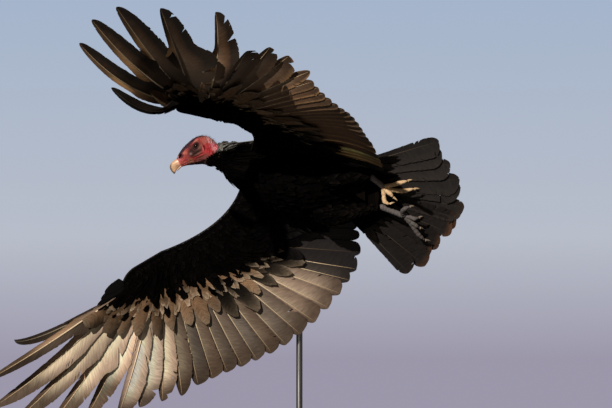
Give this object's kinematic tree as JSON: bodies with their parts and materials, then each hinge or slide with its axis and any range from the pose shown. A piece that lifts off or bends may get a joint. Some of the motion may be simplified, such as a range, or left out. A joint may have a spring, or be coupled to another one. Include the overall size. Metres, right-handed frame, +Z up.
{
  "type": "turkey vulture, life-size model",
  "caption": "Turkey vulture banking in flight with spread wings and fanned tail, held by a plain rod display stand.",
  "frame": {"origin": "centre of the underside of the stand's base disc", "axes": "+Z up; the bird flies towards -X with its left wing raised towards -Y and its right wing lowered"},
  "size_m": [1.0362, 1.0218, 1.0792],
  "materials": {
    "plumage": "black-brown contour feathers, soft sheen",
    "flight_feathers": "grey-brown vanes with pale shafts, satin",
    "bare_skin": "bare wrinkled red skin, slightly moist",
    "horn": "ivory horn, satin",
    "eye": "dark brown eye, wet gloss",
    "foot_scales": "pale grey to ivory scaled skin",
    "claw": "dark horn claws with paler undersides",
    "stand_black": "satin black paint",
    "stand_steel": "brushed steel rod"
  },
  "bodies": {
    "root": {"head": "bare_skin", "bill_upper": "horn", "bill_lower": "horn", "eye_left": "eye", "eye_right": "eye", "neck": "plumage", "trunk": "plumage", "tail_feathers": "flight_feathers", "upper_arm_left": "plumage", "forearm_left": "plumage", "hand_left": "plumage", "tertials_left": "plumage", "secondaries_left": "flight_feathers", "primaries_left": "flight_feathers", "upper_arm_right": "plumage", "forearm_right": "plumage", "hand_right": "plumage", "tertials_right": "plumage", "secondaries_right": "flight_feathers", "primaries_right": "flight_feathers", "thigh_left": "plumage", "foot_left": "foot_scales", "claw_left_1": "claw", "claw_left_2": "claw", "claw_left_3": "claw", "claw_left_4": "claw", "thigh_right": "plumage", "foot_right": "foot_scales", "claw_right_1": "claw", "claw_right_2": "claw", "claw_right_3": "claw", "claw_right_4": "claw", "stand_base": "stand_black", "stand_post": "stand_steel", "stand_arm": "stand_steel"}
  },
  "joints": []
}
